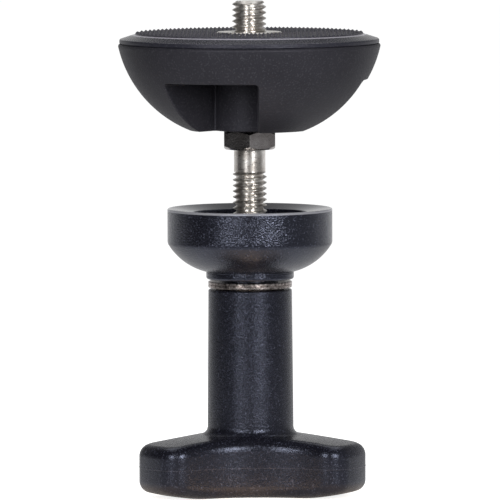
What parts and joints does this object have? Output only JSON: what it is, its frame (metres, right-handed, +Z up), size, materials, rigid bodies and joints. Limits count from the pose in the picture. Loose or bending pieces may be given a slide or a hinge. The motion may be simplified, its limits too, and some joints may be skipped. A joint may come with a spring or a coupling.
{
  "type": "leveling base",
  "caption": "Half-ball leveling base with a threaded stud on a friction pad, a clamp cup on thrust washers and a long-necked lobed knob on a threaded rod.",
  "frame": {"origin": "on the common axis, at the lowest face of the knob's cover", "axes": "+Z up along the rod towards the stud, -Y towards the viewer of the picture, +X to the right"},
  "size_m": [0.0734, 0.0734, 0.1382],
  "materials": {
    "ball_black": "matte, fine grain",
    "cap_black": "satin",
    "pad_rubber": "serrated, matte",
    "steel_bright": "bright, turned",
    "steel_grey": "satin",
    "aluminium_plain": "turned",
    "brass_plain": "turned",
    "cup_black": "fine sparkle coat",
    "knob_black": "fine sparkle grain",
    "screw_black": "blackened"
  },
  "bodies": {
    "ball_head": {"half_ball_shell": "ball_black", "top_cap": "cap_black", "friction_pad": "pad_rubber", "stud_collar": "steel_bright", "main_stud": "steel_bright", "jam_nut": "steel_grey", "spacer_sleeve": "aluminium_plain", "cap_insert_1": "brass_plain", "cap_insert_2": "brass_plain", "cap_insert_3": "brass_plain", "cap_screw_1": "screw_black", "cap_screw_2": "screw_black", "cap_screw_3": "screw_black"},
    "washer_low": {"lower_thrust_washer": "steel_grey"},
    "knob": {"knob_body": "knob_black", "knob_cover": "knob_black", "knob_insert": "steel_grey", "cover_screw_1": "screw_black", "cover_screw_2": "screw_black", "cover_screw_3": "screw_black"},
    "washer_high": {"upper_thrust_washer": "steel_grey"},
    "cup": {"clamp_cup": "cup_black"}
  },
  "joints": [
    {"name": "knob_travel", "type": "slide", "parent": "ball_head", "child": "washer_low", "axis": [0, 0, 1], "range_m": [-0.015, 0.017]},
    {"name": "knob_spin", "type": "hinge", "parent": "washer_low", "child": "knob", "pos_m": [0, 0, 0.05], "axis": [0, 0, 1], "range_deg": [-3400, 3854]},
    {"name": "cup_spin", "type": "hinge", "parent": "washer_low", "child": "washer_high", "pos_m": [0, 0, 0.059], "axis": [0, 0, 1], "continuous": true},
    {"name": "cup_lift", "type": "slide", "parent": "washer_high", "child": "cup", "axis": [0, 0, 1], "range_m": [0, 0.0045]}
  ],
  "couplings": [
    {"joint": "knob_travel", "follows": "knob_spin", "m_per_rad": 0.00025266}
  ]
}
